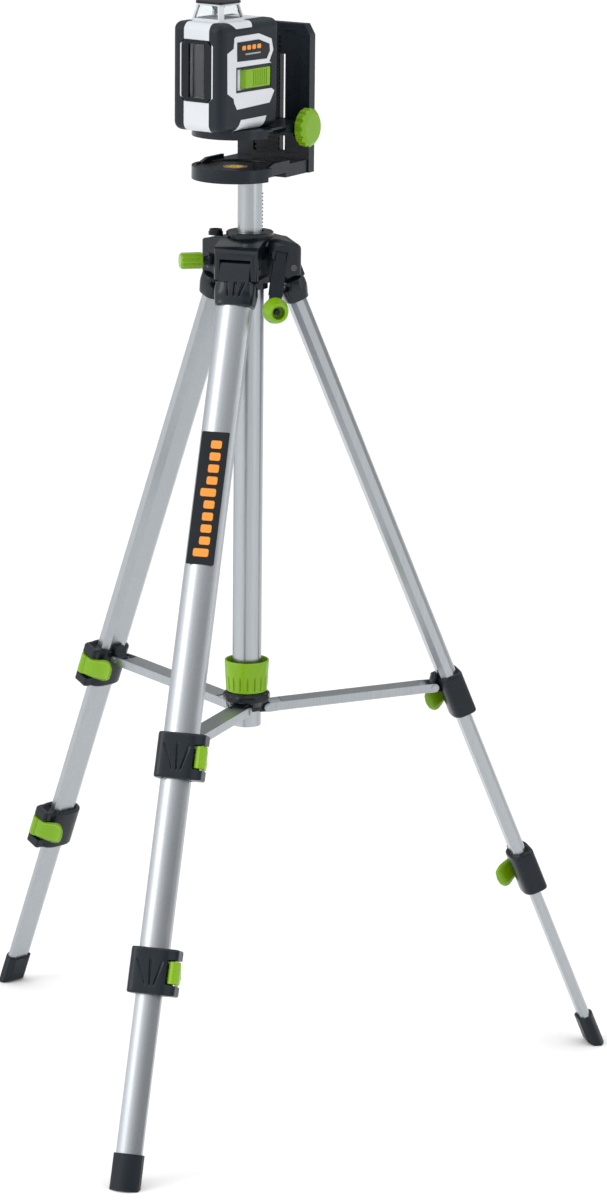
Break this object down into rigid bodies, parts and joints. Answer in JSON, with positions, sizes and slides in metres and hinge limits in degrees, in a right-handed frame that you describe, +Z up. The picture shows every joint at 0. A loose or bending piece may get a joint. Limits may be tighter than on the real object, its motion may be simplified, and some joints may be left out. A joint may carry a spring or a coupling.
{
  "type": "laser level on tripod",
  "caption": "Self-levelling cross-line laser on a height-adjustable wall bracket, carried by a crank-column tripod with three telescopic legs, flip-lever clamps and a folding spreader.",
  "frame": {"origin": "on the floor, at the middle of the object's bounding box", "axes": "+Z up along the column, one leg towards -Y, the laser's window facing roughly -Y"},
  "size_m": [0.6442, 0.5623, 1.053],
  "materials": {
    "silver_tube": "satin anodised",
    "silver_channel": "satin anodised, pressed",
    "dark_plastic": "fine-textured anthracite",
    "dark_metal": "semi-matt black coating",
    "dark_rubber": "matt",
    "green_plastic": "semi-gloss lime green",
    "white_plastic": "smooth off-white",
    "level_green": "tinted clear vial",
    "steel": "zinc plated",
    "brass": "turned",
    "clear_glass": "clear"
  },
  "bodies": {
    "head": {"head_casting": "dark_plastic", "head_cover": "dark_plastic", "bubble_level": "level_green", "pivot_screws": "steel", "guide_tube": "silver_tube", "guide_collar": "dark_plastic"},
    "column": {"column_tube": "silver_tube", "column_rack": "dark_plastic", "column_top_plate": "dark_metal", "bracket_plate": "dark_plastic", "bracket_arm": "dark_plastic", "brass_insert": "brass"},
    "crank": {"crank_shaft": "steel", "crank_arm": "dark_plastic"},
    "crank knob": {"crank_knob": "green_plastic"},
    "lock knob": {"lock_knob": "green_plastic"},
    "spreader hub": {"spreader_hub": "dark_plastic"},
    "spreader collar": {"spreader_collar": "green_plastic"},
    "platform": {"platform": "dark_plastic", "laser_screw": "steel"},
    "platform knob": {"platform_knob": "green_plastic"},
    "laser": {"laser_housing": "white_plastic", "laser_bumper": "dark_rubber", "window_bezel": "dark_plastic", "laser_window": "clear_glass", "turret_frame": "white_plastic", "turret_glass": "clear_glass", "turret_cap": "dark_plastic", "battery_pack": "dark_plastic"},
    "laser switch": {"laser_switch": "green_plastic"},
    "pendulum": {"pendulum": "steel"},
    "front brace": {"front_brace": "silver_channel"},
    "front leg": {"front_knuckle": "dark_plastic", "front_upper_tube": "silver_tube", "front_upper_clamp": "dark_plastic"},
    "front middle section": {"front_middle_tube": "silver_tube", "front_lower_clamp": "dark_plastic"},
    "front lower section": {"front_lower_tube": "silver_tube", "front_foot": "dark_rubber"},
    "front upper lever": {"front_upper_lever": "green_plastic"},
    "front lower lever": {"front_lower_lever": "green_plastic"},
    "left brace": {"left_brace": "silver_channel"},
    "left leg": {"left_knuckle": "dark_plastic", "left_upper_tube": "silver_tube", "left_upper_clamp": "dark_plastic"},
    "left middle section": {"left_middle_tube": "silver_tube", "left_lower_clamp": "dark_plastic"},
    "left lower section": {"left_lower_tube": "silver_tube", "left_foot": "dark_rubber"},
    "left upper lever": {"left_upper_lever": "green_plastic"},
    "left lower lever": {"left_lower_lever": "green_plastic"},
    "right brace": {"right_brace": "silver_channel"},
    "right leg": {"right_knuckle": "dark_plastic", "right_upper_tube": "silver_tube", "right_upper_clamp": "dark_plastic"},
    "right middle section": {"right_middle_tube": "silver_tube", "right_lower_clamp": "dark_plastic"},
    "right lower section": {"right_lower_tube": "silver_tube", "right_foot": "dark_rubber"},
    "right upper lever": {"right_upper_lever": "green_plastic"},
    "right lower lever": {"right_lower_lever": "green_plastic"}
  },
  "joints": [
    {"name": "column_slide", "type": "slide", "parent": "head", "child": "column", "axis": [0, 0, 1], "range_m": [-0.03, 0.3]},
    {"name": "crank_turn", "type": "hinge", "parent": "head", "child": "crank", "pos_m": [0.01715, 0.09732, 0.815], "axis": [0.5, -0.866, 0], "range_deg": [-1953.4, 195.4]},
    {"name": "crank_knob_spin", "type": "hinge", "parent": "crank", "child": "crank knob", "pos_m": [0.00859, 0.09238, 0.76599], "axis": [0.5, -0.866, 0], "continuous": true},
    {"name": "lock_turn", "type": "hinge", "parent": "head", "child": "lock knob", "pos_m": [-0.03464, 0.06742, 0.804], "axis": [-0.866, -0.5, 0], "range_deg": [0, 540]},
    {"name": "leg_fold", "type": "slide", "parent": "head", "child": "spreader hub", "axis": [0, 0, 1], "range_m": [0, 0.15209]},
    {"name": "collar_turn", "type": "hinge", "parent": "spreader hub", "child": "spreader collar", "pos_m": [0, 0.08742, 0.398], "axis": [0, 0, 1], "range_deg": [0, 180]},
    {"name": "front_brace_hinge", "type": "hinge", "parent": "spreader hub", "child": "front brace", "pos_m": [0, 0.06742, 0.3665], "axis": [1, 0, 0], "range_deg": [-0.2, 92.66]},
    {"name": "front_leg_hinge", "type": "hinge", "parent": "front brace", "child": "front leg", "pos_m": [0, -0.09823, 0.37765], "axis": [1, 0, 0], "range_deg": [-71.51, 0.2]},
    {"name": "front_middle_slide", "type": "slide", "parent": "front leg", "child": "front middle section", "axis": [0, -0.3803, -0.9249], "range_m": [-0.155, 0.17]},
    {"name": "front_lower_slide", "type": "slide", "parent": "front middle section", "child": "front lower section", "axis": [0, -0.3803, -0.9249], "range_m": [-0.145, 0.19]},
    {"name": "front_upper_lever_turn", "type": "hinge", "parent": "front leg", "child": "front upper lever", "pos_m": [0.0234, -0.12586, 0.37278], "axis": [0, -0.3803, -0.9249], "range_deg": [0, 110]},
    {"name": "front_lower_lever_turn", "type": "hinge", "parent": "front middle section", "child": "front lower lever", "pos_m": [0.0234, -0.20191, 0.18781], "axis": [0, -0.3803, -0.9249], "range_deg": [0, 110]},
    {"name": "left_brace_hinge", "type": "hinge", "parent": "spreader hub", "child": "left brace", "pos_m": [-0.01732, 0.09742, 0.3665], "axis": [-0.5, -0.866, 0], "range_deg": [-0.2, 92.66]},
    {"name": "left_leg_hinge", "type": "hinge", "parent": "left brace", "child": "left leg", "pos_m": [-0.16078, 0.18025, 0.37765], "axis": [-0.5, -0.866, 0], "range_deg": [-71.51, 0.2]},
    {"name": "left_middle_slide", "type": "slide", "parent": "left leg", "child": "left middle section", "axis": [-0.3293, 0.1901, -0.9249], "range_m": [-0.155, 0.17]},
    {"name": "left_lower_slide", "type": "slide", "parent": "left middle section", "child": "left lower section", "axis": [-0.3293, 0.1901, -0.9249], "range_m": [-0.145, 0.19]},
    {"name": "left_upper_lever_turn", "type": "hinge", "parent": "left leg", "child": "left upper lever", "pos_m": [-0.1964, 0.17379, 0.37278], "axis": [-0.3293, 0.1901, -0.9249], "range_deg": [0, 110]},
    {"name": "left_lower_lever_turn", "type": "hinge", "parent": "left middle section", "child": "left lower lever", "pos_m": [-0.26227, 0.21182, 0.18781], "axis": [-0.3293, 0.1901, -0.9249], "range_deg": [0, 110]},
    {"name": "right_brace_hinge", "type": "hinge", "parent": "spreader hub", "child": "right brace", "pos_m": [0.01732, 0.09742, 0.3665], "axis": [-0.5, 0.866, 0], "range_deg": [-0.2, 92.66]},
    {"name": "right_leg_hinge", "type": "hinge", "parent": "right brace", "child": "right leg", "pos_m": [0.16078, 0.18025, 0.37765], "axis": [-0.5, 0.866, 0], "range_deg": [-71.51, 0.2]},
    {"name": "right_middle_slide", "type": "slide", "parent": "right leg", "child": "right middle section", "axis": [0.3293, 0.1901, -0.9249], "range_m": [-0.155, 0.17]},
    {"name": "right_lower_slide", "type": "slide", "parent": "right middle section", "child": "right lower section", "axis": [0.3293, 0.1901, -0.9249], "range_m": [-0.145, 0.19]},
    {"name": "right_upper_lever_turn", "type": "hinge", "parent": "right leg", "child": "right upper lever", "pos_m": [0.173, 0.21432, 0.37278], "axis": [0.3293, 0.1901, -0.9249], "range_deg": [0, 110]},
    {"name": "right_lower_lever_turn", "type": "hinge", "parent": "right middle section", "child": "right lower lever", "pos_m": [0.23887, 0.25235, 0.18781], "axis": [0.3293, 0.1901, -0.9249], "range_deg": [0, 110]},
    {"name": "platform_slide", "type": "slide", "parent": "column", "child": "platform", "axis": [0, 0, 1], "range_m": [-0.02, 0.06]},
    {"name": "platform_knob_turn", "type": "hinge", "parent": "platform", "child": "platform knob", "pos_m": [0.04995, 0.10588, 0.929], "axis": [0.9703, -0.2419, 0], "range_deg": [0, 360]},
    {"name": "laser_turn", "type": "hinge", "parent": "platform", "child": "laser", "pos_m": [-0.00653, 0.06122, 0.9335], "axis": [0, 0, 1], "range_deg": [-180, 109]},
    {"name": "switch_slide", "type": "slide", "parent": "laser", "child": "laser switch", "axis": [-0.342, -0.9397, 0], "range_m": [0, 0.008]},
    {"name": "pendulum_swing", "type": "hinge", "parent": "laser", "child": "pendulum", "pos_m": [-0.01577, 0.03585, 1.0117], "axis": [0.9397, -0.342, 0], "range_deg": [-4, 4]}
  ],
  "couplings": [
    {"joint": "crank_turn", "follows": "column_slide", "rad_per_m": -113.64},
    {"joint": "front_brace_hinge", "follows": "leg_fold", "rad_per_m": 10.61},
    {"joint": "front_leg_hinge", "follows": "leg_fold", "rad_per_m": -8.1832},
    {"joint": "left_brace_hinge", "follows": "leg_fold", "rad_per_m": 10.61},
    {"joint": "left_leg_hinge", "follows": "leg_fold", "rad_per_m": -8.1832},
    {"joint": "right_brace_hinge", "follows": "leg_fold", "rad_per_m": 10.61},
    {"joint": "right_leg_hinge", "follows": "leg_fold", "rad_per_m": -8.1832}
  ]
}
